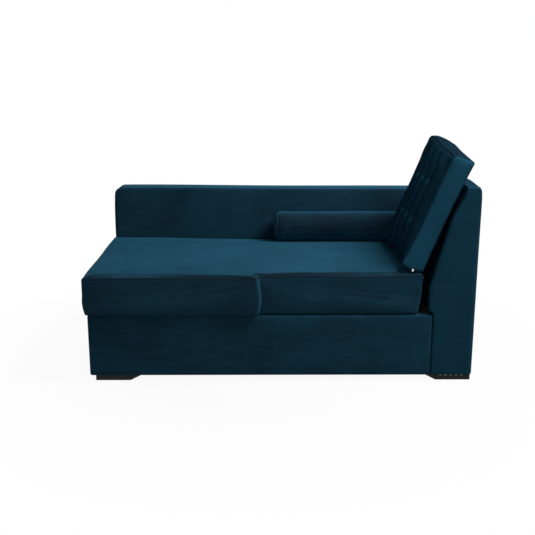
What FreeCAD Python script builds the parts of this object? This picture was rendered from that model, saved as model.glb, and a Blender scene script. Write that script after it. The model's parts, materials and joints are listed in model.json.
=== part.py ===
import FreeCAD, Part
import math
import os

# Pull-out sofa bed, one arm, shown closed. Millimetres.
# +X runs from the foot end to the back, +Y from the near side to the arm, +Z up.
# The origin lies on the floor under the middle of the outline.

# Outline of the whole sofa
LENGTH = 1546.0
DEPTH = 860.0
FOOT_HEIGHT = 23.0
BASE_TOP = 275.0
SEAT_BOTTOM = 279.0
SEAT_TOP = 438.0
ARM_TOP = 672.0
BACK_TOP = 788.0
ARM_THICKNESS = 118.0
PROUD = 25.0
OVERHANG = 18.0
WRAP = 10.0
PULL = 690.0

# Back block: upright below, sloping above
BACK_FOOT_DEPTH = 167.0
BACK_TOP_DEPTH = 59.0
SLOPE_START = 383.0
BACK_PLY = 9.0
RIB_THICKNESS = 18.0
RIB_COUNT = 5
FRAME_RAIL_HEIGHT = 30.0

# Boards of the base and the arm
SIDE_BOARD = 18.0
ARM_BOARD = 12.0
ARM_CORNER = 35.0
ARM_POST_COUNT = 4
EDGE_ROUND = 9.0
BACK_ROUND = 18.0
JOIN_GAP = 2.0

# Seat unit
STEP_X = -78.0
SEAT_REAR_TOP = 576.0
SEAT_REAR_BOTTOM = 550.0
SEAT_SIDE_GAP = 4.0
SEAT_WRAP = 8.0
SEAT_ROUND = 24.0
SEAT_CORNER = 16.0
SOFT_FIT = 0.3
RAIL_BOTTOM = 282.0
RAIL_TOP = 313.0
RAIL_WIDTH = 25.0
RAIL_CLEAR = 3.0
SLAT_THICKNESS = 12.0
SEAT_SLAT_WIDTH = 60.0
SEAT_SLAT_COUNT = 11

# Cross rails, corner block and rear deck inside the base
CROSS_RAIL_X = (-600.0, -180.0)
BLOCK_SETBACK = 14.0
BLOCK_LENGTH = 108.0
BLOCK_WIDTH = 56.0
DECK_DROP = 20.0
BEARER_HEIGHT = 110.0
BEARER_X = -100.0
NOTCH_ROOM = 15.0
NOTCH_DROP = 4.0
DECK_SLAT_WIDTH = 58.0
DECK_SLAT_COUNT = 7
DECK_MARGIN = 10.0

# Runners and the rollers in them
RUNNER_DEPTH = 16.0
RUNNER_BOTTOM = 229.0
RUNNER_HEIGHT = 38.0
RUNNER_WALL = 2.0
RUNNER_CLEAR = 4.0
STOP_LENGTH = 9.0
STOP_ROOM = 3.0
ROLLER_RADIUS = 15.0
ROLLER_WIDTH = 10.0
ROLLER_ROUND = 1.5
ROLLER_X = 500.0
PIN_RADIUS = 3.0
PIN_REACH = 16.0
PIN_TIP = 1.0
BRACKET_EYE = 9.0
BRACKET_FOOT = 24.0
BRACKET_HEAD = 5.0
RUNNING_FIT = 0.06
PLATE = 3.0

# Foot-end panel and its fixed casters
PANEL_SIDE_GAP = 3.0
PANEL_LIFT = 7.0
PANEL_ROUND = 7.0
ANGLE_WIDTH = 40.0
ANGLE_FOOT = 169.0
CASTER_X = -690.0
CASTER_Y = (-250.0, 185.0)
CASTER_PLATE_BOTTOM = 66.0
CASTER_PLATE_LENGTH = 52.0
CASTER_PLATE_WIDTH = 44.0
CASTER_BLOCK_WIDTH = 80.0
CASTER_BLOCK_HEIGHT = 60.0
CASTER_BLOCK_REACH = 32.0
CHEEK_TOP = 44.0
CHEEK_EYE = 8.0
CHEEK_CLEAR = 1.5
WHEEL_RADIUS = 25.0
WHEEL_WIDTH = 18.0
WHEEL_ROUND = 3.0
WHEEL_LIFT = 1.0
WHEEL_DISH = 4.0
WHEEL_RIM = 6.0
WHEEL_HUB = 9.0
AXLE_RADIUS = 4.0
AXLE_END = 3.0
AXLE_HEAD = 6.0
AXLE_HEAD_LENGTH = 2.5

# Feet and their screws
FOOT_TOP_LENGTH = 185.0
FOOT_BEVEL = 45.0
FOOT_WIDTH = 70.0
FOOT_INSET = 12.0
FOOT_SETBACK = 20.0
HEAD_FOOT_SETBACK = 4.0
FOOT_ROUND = 6.0
FOOT_SCREWS = (38.0, 98.0)
SCREW_ACROSS = 42.0
SCREW_SHIFT = 8.0
SCREW_RADIUS = 2.5
SCREW_HEAD = 6.0
SCREW_FIT = 0.15
SCREW_TOP = 46.0

# Loose back cushion, leaning on the back block; its top rises towards the arm
CUSHION_LEAN = 21.7
CUSHION_FOOT = FreeCAD.Vector(525.0, -120.0, 456.0)
CUSHION_WIDTH = 530.0
CUSHION_NEAR_HEIGHT = 463.0
CUSHION_MIDDLE_HEIGHT = 483.0
CUSHION_FAR_HEIGHT = 495.0
CUSHION_BOXING = 80.0
CUSHION_FRONT_CROWN = 22.0
CUSHION_REAR_CROWN = 9.0
PLAN_CROWN_MORE = 3.0
CUSHION_COVER = 4.0
FOAM_GAP = 2.0
TUFT_ROWS = (160.0, 323.0)
TUFT_COLUMNS = (-105.0, 0.0, 105.0)
TUFT_DEPTH = 12.0
TUFT_SPHERE = 34.0
BUTTON_RADIUS = 11.0
BUTTON_HEIGHT = 6.0
BUTTON_ROUND = 3.0
ZIP_SLOT = 10.0
ZIP_LENGTH = 400.0
ZIP_RISE = 30.0
ZIP_INSET = 0.6
TAPE_THICKNESS = 2.5
SLIDER_WIDTH = 8.0
SLIDER_DEPTH = 3.5
SLIDER_FOOT = 10.0
SLIDER_HEAD = 22.0
TAB_WIDTH = 5.0
TAB_THICKNESS = 1.5
TAB_FOOT = 2.0
TAB_HEAD = 18.0

# Loose bolster along the arm
BOLSTER_RADIUS = 70.0
BOLSTER_FOOT = -11.0
BOLSTER_HEAD = 589.0
BOLSTER_ROUND = 26.0
BOLSTER_COVER = 4.0
BOLSTER_ZIP = 300.0
REST_GAP = 0.5
CUT_OVER = 1.0

X_FOOT = -LENGTH / 2
X_REAR = LENGTH / 2
Y_PROUD = -DEPTH / 2
Y_FAR = DEPTH / 2
Y_NEAR = Y_PROUD + PROUD
Y_ARM = Y_FAR - ARM_THICKNESS
X_BASE = X_FOOT + OVERHANG
X_BACK = X_REAR - BACK_FOOT_DEPTH
SLOPE = (BACK_FOOT_DEPTH - BACK_TOP_DEPTH) / (BACK_TOP - SLOPE_START)
Y_BOARD = Y_NEAR + WRAP
Y_INSIDE = Y_BOARD + SIDE_BOARD
X_BASE_HEAD = X_BACK - JOIN_GAP
RUNNER_HEAD = ROLLER_X + ROLLER_RADIUS + STOP_ROOM + STOP_LENGTH
RUNNER_FOOT = ROLLER_X - PULL - ROLLER_RADIUS - STOP_ROOM - STOP_LENGTH


def box(x0, x1, y0, y1, z0, z1):
    corner = FreeCAD.Vector(x0, y0, z0)
    return Part.makeBox(x1 - x0, y1 - y0, z1 - z0, corner)


def side_prism(outline, y0, y1):
    """Outline of (x, z) points pushed from y0 to y1."""
    points = [FreeCAD.Vector(x, y0, z) for x, z in outline]
    face = Part.Face(Part.makePolygon(points + points[:1]))
    return face.extrude(FreeCAD.Vector(0, y1 - y0, 0))


def plan_prism(outline, z0, z1):
    """Outline of (x, y) points pushed from z0 to z1."""
    points = [FreeCAD.Vector(x, y, z0) for x, y in outline]
    face = Part.Face(Part.makePolygon(points + points[:1]))
    return face.extrude(FreeCAD.Vector(0, 0, z1 - z0))


def end_prism(outline, x0, x1):
    """Outline of (y, z) points pushed from x0 to x1."""
    points = [FreeCAD.Vector(x0, y, z) for y, z in outline]
    face = Part.Face(Part.makePolygon(points + points[:1]))
    return face.extrude(FreeCAD.Vector(x1 - x0, 0, 0))


def rod(x, z, y0, y1, radius):
    """Round bar along Y."""
    return Part.makeCylinder(radius, y1 - y0, FreeCAD.Vector(x, y0, z), FreeCAD.Vector(0, 1, 0))


def rounded(shape, radius, chosen):
    edges = [e for e in shape.Edges if chosen(e.BoundBox)]
    return shape.makeFillet(radius, edges)


def at(value, place):
    return abs(value - place) < 0.01


def save(node, *solids):
    os.makedirs("parts", exist_ok=True)
    shape = solids[0] if len(solids) == 1 else Part.makeCompound(list(solids))
    shape.exportStep("parts/" + node + ".step")


def slope_x(z, inset):
    """Sloping front of the back block, moved inwards by the inset."""
    return X_BACK + (z - SLOPE_START) * SLOPE + inset * math.hypot(1.0, SLOPE)


def spread(first, last, count):
    return [first + (last - first) * i / (count - 1) for i in range(count)]


# Near side of the base
def near_side():
    board_foot = X_BASE + WRAP
    board_head = X_BASE_HEAD - WRAP
    board = box(board_foot, board_head, Y_BOARD, Y_INSIDE, FOOT_HEIGHT, BASE_TOP - WRAP)
    cover = box(X_BASE, X_BASE_HEAD, Y_NEAR, Y_INSIDE, FOOT_HEIGHT, BASE_TOP)
    cover = rounded(cover, EDGE_ROUND, lambda b: at(b.YMax, Y_NEAR) and not at(b.ZMax, FOOT_HEIGHT))
    save("near_side_board", board)
    save("near_side_cover", cover.cut(board))


# Low arm along the far side: two boards over rails and posts
def arm_outline(inset):
    head = X_BASE_HEAD - inset
    top = ARM_TOP - inset
    return [
        (X_BASE + inset, FOOT_HEIGHT),
        (head, FOOT_HEIGHT),
        (head, SLOPE_START),
        (head + (top - SLOPE_START) * SLOPE, top),
        (X_BASE + inset, top),
    ]


def arm_body(inset):
    body = side_prism(arm_outline(inset), Y_ARM + inset, Y_FAR - inset)
    corner_x = X_BASE + inset
    corner_z = ARM_TOP - inset
    return rounded(
        body,
        ARM_CORNER - inset,
        lambda b: at(b.XMin, corner_x) and at(b.XMax, corner_x) and at(b.ZMin, corner_z),
    )


def arm_edge(b):
    """Edges of the arm's two faces along its foot end and its top."""
    on_face = at(b.YMin, b.YMax) and (at(b.YMin, Y_ARM) or at(b.YMin, Y_FAR))
    end_or_top = at(b.ZMax, ARM_TOP) or at(b.XMin, X_BASE)
    return on_face and end_or_top and not at(b.ZMax, FOOT_HEIGHT)


def arm():
    core = arm_body(WRAP)
    cover = rounded(arm_body(0.0), EDGE_ROUND, arm_edge).cut(core)
    save("arm_cover", cover)
    y_in = Y_ARM + WRAP
    y_out = Y_FAR - WRAP
    slab = box(X_BASE, X_REAR, y_in, y_in + ARM_BOARD, FOOT_HEIGHT, ARM_TOP)
    save("arm_inner_board", core.common(slab))
    slab = box(X_BASE, X_REAR, y_out - ARM_BOARD, y_out, FOOT_HEIGHT, ARM_TOP)
    save("arm_outer_board", core.common(slab))
    rail_in = y_in + ARM_BOARD
    rail_out = y_out - ARM_BOARD
    foot = X_BASE + WRAP
    head = X_BASE_HEAD - WRAP
    low = FOOT_HEIGHT + FRAME_RAIL_HEIGHT
    top = ARM_TOP - WRAP
    high = top - FRAME_RAIL_HEIGHT
    bottom_rail = box(foot, head, rail_in, rail_out, FOOT_HEIGHT, low)
    save("arm_bottom_rail", bottom_rail.cut(screw_holes()))
    save("arm_top_rail", box(foot + ARM_CORNER, head, rail_in, rail_out, high, top))
    posts = []
    for x in spread(foot + ARM_CORNER, head - ARM_CORNER, ARM_POST_COUNT):
        posts.append(box(x, x + ARM_CORNER, rail_in, rail_out, low, high))
    save("arm_posts", *posts)


# Back block: ribs faced with ply, under a padded cover
def back():
    core = side_prism(
        [
            (X_BACK + WRAP, FOOT_HEIGHT),
            (X_BACK + WRAP, SLOPE_START),
            (slope_x(BACK_TOP - WRAP, WRAP), BACK_TOP - WRAP),
            (X_REAR - 3 * WRAP, BACK_TOP - WRAP),
            (X_REAR - WRAP, BACK_TOP - 3 * WRAP),
            (X_REAR - WRAP, FOOT_HEIGHT),
        ],
        Y_NEAR + WRAP,
        Y_FAR - WRAP,
    )
    cover = side_prism(
        [
            (X_BACK, FOOT_HEIGHT),
            (X_BACK, SLOPE_START),
            (slope_x(BACK_TOP, 0.0), BACK_TOP),
            (X_REAR, BACK_TOP),
            (X_REAR, FOOT_HEIGHT),
        ],
        Y_NEAR,
        Y_FAR,
    )
    across = DEPTH - PROUD
    cover = rounded(
        cover,
        BACK_ROUND,
        lambda b: at(b.YLength, across) and at(b.ZMin, BACK_TOP) and at(b.ZMax, BACK_TOP),
    )
    cover = rounded(
        cover,
        EDGE_ROUND,
        lambda b: at(b.YMin, b.YMax) and not at(b.ZMax, FOOT_HEIGHT),
    )
    save("back_cover", cover.cut(core))
    y0 = Y_NEAR + WRAP
    y1 = Y_FAR - WRAP
    rail_top = FOOT_HEIGHT + FRAME_RAIL_HEIGHT
    front = X_BACK + WRAP
    rear = X_REAR - WRAP
    inner = WRAP + BACK_PLY
    board_top = BACK_TOP - 3 * WRAP
    save("back_rear_board", box(rear - BACK_PLY, rear, y0, y1, FOOT_HEIGHT, board_top))
    save("back_lower_board", box(front, front + BACK_PLY, y0, y1, FOOT_HEIGHT, SLOPE_START - WRAP))
    slope = [
        (slope_x(SLOPE_START, WRAP), SLOPE_START),
        (slope_x(SLOPE_START, inner), SLOPE_START),
        (slope_x(board_top, inner), board_top),
        (slope_x(board_top, WRAP), board_top),
    ]
    save("back_slope_board", side_prism(slope, y0, y1))
    rib = [
        (X_BACK + inner, rail_top),
        (X_BACK + inner, SLOPE_START - WRAP),
        (slope_x(board_top, inner), board_top),
        (rear - BACK_PLY, board_top),
        (rear - BACK_PLY, rail_top),
    ]
    ribs = []
    for y in spread(y0, y1 - RIB_THICKNESS, RIB_COUNT):
        ribs.append(side_prism(rib, y, y + RIB_THICKNESS))
    save("back_ribs", *ribs)
    front_rail = box(front + BACK_PLY, front + BACK_PLY + RAIL_WIDTH, y0, y1, FOOT_HEIGHT, rail_top)
    rear_rail = box(rear - BACK_PLY - RAIL_WIDTH, rear - BACK_PLY, y0, y1, FOOT_HEIGHT, rail_top)
    save("back_bottom_rails", front_rail.cut(screw_holes()), rear_rail.cut(screw_holes()))
    top_rail = [
        (slope_x(board_top, WRAP), board_top),
        (slope_x(BACK_TOP - WRAP, WRAP), BACK_TOP - WRAP),
        (X_REAR - 3 * WRAP, BACK_TOP - WRAP),
        (rear - BACK_PLY, board_top),
    ]
    save("back_top_rail", side_prism(top_rail, y0, y1))


# Bevelled block feet and the screws that hold them
def foot_places():
    """Outer end, direction of the bevelled end and near face of each foot."""
    near = Y_NEAR + FOOT_INSET
    far = Y_FAR - FOOT_INSET - FOOT_WIDTH
    foot = X_BASE + FOOT_SETBACK
    head = X_REAR - HEAD_FOOT_SETBACK
    return {
        "foot_end_near_leg": (foot, 1, near),
        "foot_end_far_leg": (foot, 1, far),
        "head_end_near_leg": (head, -1, near),
        "head_end_far_leg": (head, -1, far),
    }


def screw_places():
    """Two screws in each foot; at the head end they meet the back's two bottom rails."""
    inset = WRAP + BACK_PLY + RAIL_WIDTH / 2
    places = []
    for end, way, y in foot_places().values():
        middle = y + SCREW_ACROSS
        if way > 0:
            places += [(end + along, middle) for along in FOOT_SCREWS]
        else:
            places += [(X_REAR - inset, middle), (X_BACK + inset + SCREW_SHIFT, middle)]
    return places


def upright_rods(radius, z0, z1):
    rods = []
    for x, y in screw_places():
        rods.append(Part.makeCylinder(radius, z1 - z0, FreeCAD.Vector(x, y, z0)))
    return rods


def screw_holes():
    return Part.makeCompound(upright_rods(SCREW_RADIUS + SCREW_FIT, 0.0, SCREW_TOP + CUT_OVER))


def feet():
    recesses = Part.makeCompound(upright_rods(SCREW_HEAD + SCREW_FIT, 0.0, 2 * SCREW_HEAD))
    heads = upright_rods(SCREW_HEAD, SCREW_HEAD, 2 * SCREW_HEAD)
    shanks = upright_rods(SCREW_RADIUS, SCREW_HEAD, SCREW_TOP)
    save("foot_screws", *[head.fuse(shank).removeSplitter() for head, shank in zip(heads, shanks)])
    for node, (end, way, y) in foot_places().items():
        outline = [
            (end, 0.0),
            (end + way * (FOOT_TOP_LENGTH - FOOT_BEVEL), 0.0),
            (end + way * FOOT_TOP_LENGTH, FOOT_HEIGHT),
            (end, FOOT_HEIGHT),
        ]
        foot = side_prism(outline, y, y + FOOT_WIDTH)
        foot = rounded(foot, FOOT_ROUND, lambda b: at(b.XMin, end) and at(b.XMax, end) and at(b.YMin, b.YMax))
        save(node, foot.cut(recesses).cut(screw_holes()))


# Cross rails, corner block and the slatted rear deck
def base_inside():
    rail_top = FOOT_HEIGHT + 3 * RAIL_WIDTH
    cross = []
    for x in CROSS_RAIL_X:
        cross.append(box(x, x + RAIL_WIDTH, Y_INSIDE, Y_ARM, FOOT_HEIGHT + RAIL_WIDTH, rail_top))
    save("cross_rails", *cross)
    foot = foot_places()["foot_end_near_leg"][0] + BLOCK_SETBACK
    block = box(foot, foot + BLOCK_LENGTH, Y_INSIDE, Y_INSIDE + BLOCK_WIDTH, FOOT_HEIGHT, rail_top)
    save("corner_block", block.cut(screw_holes()))
    deck = SEAT_BOTTOM - DECK_DROP
    notch_depth = RUNNER_DEPTH + NOTCH_ROOM
    notch_z = RUNNER_BOTTOM - NOTCH_DROP
    bearer_x = {"middle_deck_bearer": BEARER_X, "head_deck_bearer": X_BASE_HEAD - WRAP - RAIL_WIDTH}
    for node, x in bearer_x.items():
        bearer = box(x, x + RAIL_WIDTH, Y_INSIDE, Y_ARM, deck - BEARER_HEIGHT, deck)
        near_notch = box(x, x + RAIL_WIDTH, Y_INSIDE, Y_INSIDE + notch_depth, notch_z, deck)
        far_notch = box(x, x + RAIL_WIDTH, Y_ARM - notch_depth, Y_ARM, notch_z, deck)
        save(node, bearer.cut(near_notch).cut(far_notch))
    foot = bearer_x["middle_deck_bearer"]
    head = bearer_x["head_deck_bearer"] + RAIL_WIDTH
    margin = notch_depth + DECK_MARGIN
    slats = []
    for y in spread(Y_INSIDE + margin, Y_ARM - margin - DECK_SLAT_WIDTH, DECK_SLAT_COUNT):
        slats.append(box(foot, head, y, y + DECK_SLAT_WIDTH, deck, deck + SLAT_THICKNESS))
    save("deck_slats", *slats)


# Channel runners on both sides, with an end stop at each end
def mirrored(y):
    """The same distance from the other inner side of the base."""
    return Y_INSIDE + Y_ARM - y


def runners():
    top = RUNNER_BOTTOM + RUNNER_HEIGHT
    lip = Y_INSIDE + RUNNER_DEPTH
    web = Y_INSIDE + RUNNER_WALL
    channel = [
        (Y_INSIDE, RUNNER_BOTTOM),
        (lip, RUNNER_BOTTOM),
        (lip, RUNNER_BOTTOM + RUNNER_WALL),
        (web, RUNNER_BOTTOM + RUNNER_WALL),
        (web, top - RUNNER_WALL),
        (lip, top - RUNNER_WALL),
        (lip, top),
        (Y_INSIDE, top),
    ]
    save("near_runner", end_prism(channel, RUNNER_FOOT, RUNNER_HEAD))
    far_channel = [(mirrored(y), z) for y, z in channel]
    save("far_runner", end_prism(far_channel, RUNNER_FOOT, RUNNER_HEAD))
    stops = []
    for x in (RUNNER_FOOT, RUNNER_HEAD - STOP_LENGTH):
        for y0, y1 in ((web, lip), (mirrored(lip), mirrored(web))):
            z0 = RUNNER_BOTTOM + RUNNER_WALL
            stops.append(box(x, x + STOP_LENGTH, y0, y1, z0, top - RUNNER_WALL))
    save("runner_stops", *stops)


# Rollers that carry the head end of the seat in the runners
def roller_gear(side, face, way):
    """Bracket plate with its pin, and the roller on it; way points at the runner."""
    z = RUNNER_BOTTOM + RUNNER_WALL + ROLLER_RADIUS + REST_GAP
    y0, y1 = sorted((face, face + way * PLATE))
    outline = [
        (ROLLER_X - BRACKET_FOOT, RAIL_TOP),
        (ROLLER_X - BRACKET_FOOT, RAIL_BOTTOM),
        (ROLLER_X - BRACKET_EYE, z),
        (ROLLER_X + BRACKET_EYE, z),
        (ROLLER_X + BRACKET_HEAD, RAIL_BOTTOM),
        (ROLLER_X + BRACKET_HEAD, RAIL_TOP),
    ]
    plate = side_prism(outline, y0, y1).fuse(rod(ROLLER_X, z, y0, y1, BRACKET_EYE))
    tip = face + way * (PLATE + PIN_REACH)
    p0, p1 = sorted((face, tip))
    save(side + "_roller_bracket", plate.fuse(rod(ROLLER_X, z, p0, p1, PIN_RADIUS)).removeSplitter())
    outer = tip - way * PIN_TIP
    r0, r1 = sorted((outer, outer - way * ROLLER_WIDTH))
    roller = rod(ROLLER_X, z, r0, r1, ROLLER_RADIUS)
    roller = rounded(roller, ROLLER_ROUND, lambda b: at(b.YMin, b.YMax))
    save(side + "_roller", roller.cut(rod(ROLLER_X, z, r0, r1, PIN_RADIUS + RUNNING_FIT)))


# Fixed casters under the foot-end panel
def caster(side, y):
    z = WHEEL_RADIUS + WHEEL_LIFT
    half = WHEEL_WIDTH / 2
    cheek_in = half + CHEEK_CLEAR
    cheek_out = cheek_in + PLATE
    reach = CASTER_PLATE_LENGTH / 2
    span = CASTER_PLATE_WIDTH / 2
    plate_z = CASTER_PLATE_BOTTOM
    fork = box(CASTER_X - reach, CASTER_X + reach, y - span, y + span, plate_z, plate_z + PLATE)
    cheek = [
        (CASTER_X - CHEEK_TOP / 2, plate_z),
        (CASTER_X - CHEEK_EYE, z),
        (CASTER_X + CHEEK_EYE, z),
        (CASTER_X + CHEEK_TOP / 2, plate_z),
    ]
    for y0, y1 in ((y - cheek_out, y - cheek_in), (y + cheek_in, y + cheek_out)):
        ear = side_prism(cheek, y0, y1).fuse(rod(CASTER_X, z, y0, y1, CHEEK_EYE))
        fork = fork.fuse(ear)
    bore = rod(CASTER_X, z, y - cheek_out, y + cheek_out, AXLE_RADIUS + RUNNING_FIT)
    save(side + "_caster_fork", fork.removeSplitter().cut(bore))
    end = cheek_out + AXLE_END
    axle = rod(CASTER_X, z, y - end, y + end, AXLE_RADIUS)
    axle = axle.fuse(rod(CASTER_X, z, y - end, y - end + AXLE_HEAD_LENGTH, AXLE_HEAD))
    save(side + "_caster_axle", axle.removeSplitter())
    wheel = rod(CASTER_X, z, y - half, y + half, WHEEL_RADIUS)
    wheel = rounded(wheel, WHEEL_ROUND, lambda b: at(b.YMin, b.YMax))
    for y0, y1 in ((y - half, y - half + WHEEL_DISH), (y + half - WHEEL_DISH, y + half)):
        dish = rod(CASTER_X, z, y0, y1, WHEEL_RADIUS - WHEEL_RIM)
        wheel = wheel.cut(dish.cut(rod(CASTER_X, z, y0, y1, WHEEL_HUB)))
    wheel = wheel.cut(rod(CASTER_X, z, y - half, y + half, AXLE_RADIUS + RUNNING_FIT))
    save(side + "_caster_wheel", wheel)


# Seat unit: L-shaped pad with a slanted head end
def seat_body(inset, top, bottom, round_top, round_corner):
    near = Y_NEAR + inset
    proud = Y_PROUD + inset
    far = Y_ARM - SEAT_SIDE_GAP - inset
    foot = X_FOOT + inset
    step = STEP_X - inset
    head = SEAT_REAR_TOP - inset
    rake = (SEAT_REAR_TOP - SEAT_REAR_BOTTOM) / (SEAT_TOP - SEAT_BOTTOM)
    plan = [(foot, proud), (step, proud), (step, near), (head, near), (head, far), (foot, far)]
    body = plan_prism(plan, bottom, top)
    head_bottom = head - rake * (SEAT_TOP - bottom)
    past = head + CUT_OVER
    wedge = [(head_bottom, bottom), (past, bottom), (past, SEAT_TOP), (head, SEAT_TOP)]
    body = body.cut(side_prism(wedge, proud, far))
    corners = ((foot, proud), (step, proud), (foot, far))

    def upright_corner(b):
        on_corner = any(at(b.XMin, x) and at(b.YMin, y) and at(b.YMax, y) for x, y in corners)
        return on_corner and at(b.XMin, b.XMax)

    body = rounded(body, round_corner, upright_corner)
    return rounded(body, round_top, lambda b: at(b.ZMin, top) and at(b.ZMax, top))


def seat():
    inner_top = SEAT_TOP - SEAT_WRAP
    inner_round = SEAT_ROUND - SEAT_WRAP
    inner_corner = SEAT_CORNER - SEAT_WRAP
    inner = seat_body(SEAT_WRAP, inner_top, SEAT_BOTTOM, inner_round, inner_corner)
    cover = seat_body(0.0, SEAT_TOP, SEAT_BOTTOM, SEAT_ROUND, SEAT_CORNER)
    save("seat_cover", cover.cut(inner))
    slat_top = RAIL_TOP + SLAT_THICKNESS
    soft = SEAT_WRAP + SOFT_FIT
    save("seat_foam", seat_body(soft, SEAT_TOP - soft, slat_top, inner_round, inner_corner))
    foot = X_FOOT + SEAT_WRAP + RAIL_CLEAR
    head = SEAT_REAR_BOTTOM - SEAT_WRAP - RAIL_CLEAR
    near = Y_NEAR + SEAT_WRAP + RAIL_CLEAR
    far = Y_ARM - SEAT_SIDE_GAP - SEAT_WRAP - RAIL_CLEAR
    pad_near = Y_PROUD + soft
    pad_top = slat_top - SOFT_FIT
    edge_pad = box(foot, STEP_X - soft, pad_near, near - SOFT_FIT, RAIL_BOTTOM, pad_top)
    edge_pad = rounded(edge_pad, inner_corner, lambda b: at(b.YMax, pad_near) and at(b.XMin, b.XMax))
    save("seat_edge_pad", edge_pad)
    runner_face = Y_INSIDE + RUNNER_DEPTH + RUNNER_CLEAR + PLATE
    far_face = mirrored(runner_face)
    cross = RAIL_WIDTH
    rails = {
        "seat_near_rail": (foot, head, near, near + cross),
        "seat_runner_rail": (foot + cross, head - cross, runner_face, runner_face + cross),
        "seat_far_rail": (foot + cross, head - cross, far_face - cross, far_face),
        "seat_foot_rail": (foot, foot + cross, near + cross, far),
        "seat_head_rail": (head - cross, head, near + cross, far),
    }
    for node, (x0, x1, y0, y1) in rails.items():
        save(node, box(x0, x1, y0, y1, RAIL_BOTTOM, RAIL_TOP))
    slats = []
    for x in spread(foot, head - SEAT_SLAT_WIDTH, SEAT_SLAT_COUNT):
        slats.append(box(x, x + SEAT_SLAT_WIDTH, near, far, RAIL_TOP, slat_top))
    save("seat_slats", *slats)
    roller_gear("near", runner_face, -1)
    roller_gear("far", far_face, 1)


# Foot-end panel, which travels with the seat on the casters
def foot_panel():
    front = X_BASE + JOIN_GAP
    face = front + SEAT_WRAP
    rear = face + SIDE_BOARD
    near = Y_INSIDE + PANEL_SIDE_GAP
    far = Y_ARM - PANEL_SIDE_GAP
    bottom = FOOT_HEIGHT + PANEL_LIFT
    board = box(face, rear, near + SEAT_WRAP, far - SEAT_WRAP, bottom, BASE_TOP - SEAT_WRAP)
    cover = box(front, rear, near, far, bottom, BASE_TOP)
    cover = rounded(cover, PANEL_ROUND, lambda b: at(b.XMax, front) and not at(b.ZMax, bottom))
    save("foot_panel_board", board)
    save("foot_panel_cover", cover.cut(board))
    angles = []
    blocks = []
    half_angle = ANGLE_WIDTH / 2
    half_block = CASTER_BLOCK_WIDTH / 2
    flange_foot = X_FOOT + SEAT_WRAP + RAIL_CLEAR
    flange_z = RAIL_BOTTOM - PLATE
    block_z = CASTER_PLATE_BOTTOM + PLATE
    block_head = CASTER_X + CASTER_BLOCK_REACH
    for y in CASTER_Y:
        upright = box(rear, rear + PLATE, y - half_angle, y + half_angle, ANGLE_FOOT, RAIL_BOTTOM)
        flange = box(flange_foot, rear, y - half_angle, y + half_angle, flange_z, RAIL_BOTTOM)
        angles.append(upright.fuse(flange).removeSplitter())
        block_top = block_z + CASTER_BLOCK_HEIGHT
        blocks.append(box(rear, block_head, y - half_block, y + half_block, block_z, block_top))
    save("foot_panel_angles", *angles)
    save("caster_blocks", *blocks)
    caster("near", CASTER_Y[0])
    caster("far", CASTER_Y[1])


# Loose back cushion: crowned both ways, drawn in by its buttons, leaning back
def bow(first, through, last):
    return Part.Arc(FreeCAD.Vector(*first), FreeCAD.Vector(*through), FreeCAD.Vector(*last)).toShape()


def bar(first, last):
    return Part.makeLine(FreeCAD.Vector(*first), FreeCAD.Vector(*last))


def push(edges, way):
    return Part.Face(Part.Wire(edges)).extrude(FreeCAD.Vector(*way))


def pillow(shrink):
    """Crowned cushion with its lower edge at the origin, thickness along X, before it leans."""
    half = CUSHION_BOXING / 2 - shrink
    width = CUSHION_WIDTH / 2 - shrink
    near_top = CUSHION_NEAR_HEIGHT - shrink
    middle_top = CUSHION_MIDDLE_HEIGHT - shrink
    far_top = CUSHION_FAR_HEIGHT - shrink
    front = half + CUSHION_FRONT_CROWN
    rear = half + CUSHION_REAR_CROWN
    over_top = far_top + CUT_OVER
    middle = (over_top + shrink) / 2
    wide = width + CUT_OVER
    side = push(
        [
            bar((-half, -wide, shrink), (half, -wide, shrink)),
            bow((half, -wide, shrink), (rear, -wide, middle), (half, -wide, over_top)),
            bar((half, -wide, over_top), (-half, -wide, over_top)),
            bow((-half, -wide, over_top), (-front, -wide, middle), (-half, -wide, shrink)),
        ],
        (0, 2 * wide, 0),
    )
    under = shrink - CUT_OVER
    more = PLAN_CROWN_MORE
    plan = push(
        [
            bar((-half, -width, under), (half, -width, under)),
            bow((half, -width, under), (rear + more, 0, under), (half, width, under)),
            bar((half, width, under), (-half, width, under)),
            bow((-half, width, under), (-front - more, 0, under), (-half, -width, under)),
        ],
        (0, 0, over_top - under + CUT_OVER),
    )
    start = -front - CUT_OVER
    face = push(
        [
            bar((start, -wide, under), (start, wide, under)),
            bar((start, wide, under), (start, wide, far_top)),
            bar((start, wide, far_top), (start, width, far_top)),
            bow((start, width, far_top), (start, 0, middle_top), (start, -width, near_top)),
            bar((start, -width, near_top), (start, -wide, near_top)),
            bar((start, -wide, near_top), (start, -wide, under)),
        ],
        (front + rear + 2 * CUT_OVER, 0, 0),
    )
    return side.common(plan).common(face)


def leaned(shape):
    shape.rotate(FreeCAD.Vector(0, 0, 0), FreeCAD.Vector(0, 1, 0), CUSHION_LEAN)
    shape.translate(CUSHION_FOOT)
    return shape


def crown_at(u, v):
    """Height of the front crown at a point of the face."""
    half_height = CUSHION_FAR_HEIGHT / 2
    plan_crown = CUSHION_FRONT_CROWN + PLAN_CROWN_MORE
    spans = ((u, CUSHION_WIDTH / 2, plan_crown), (v - half_height, half_height, CUSHION_FRONT_CROWN))
    depths = []
    for offset, half_span, crown in spans:
        radius = (half_span**2 + crown**2) / (2 * crown)
        depths.append(crown - radius + math.sqrt(radius**2 - offset**2))
    return min(depths)


def tuft_centres():
    """Centres of the balls that hollow the face at each button."""
    centres = []
    for u in TUFT_COLUMNS:
        for v in TUFT_ROWS:
            face = -CUSHION_BOXING / 2 - crown_at(u, v)
            centres.append(FreeCAD.Vector(face + TUFT_DEPTH - TUFT_SPHERE, u, v))
    return centres


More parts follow.
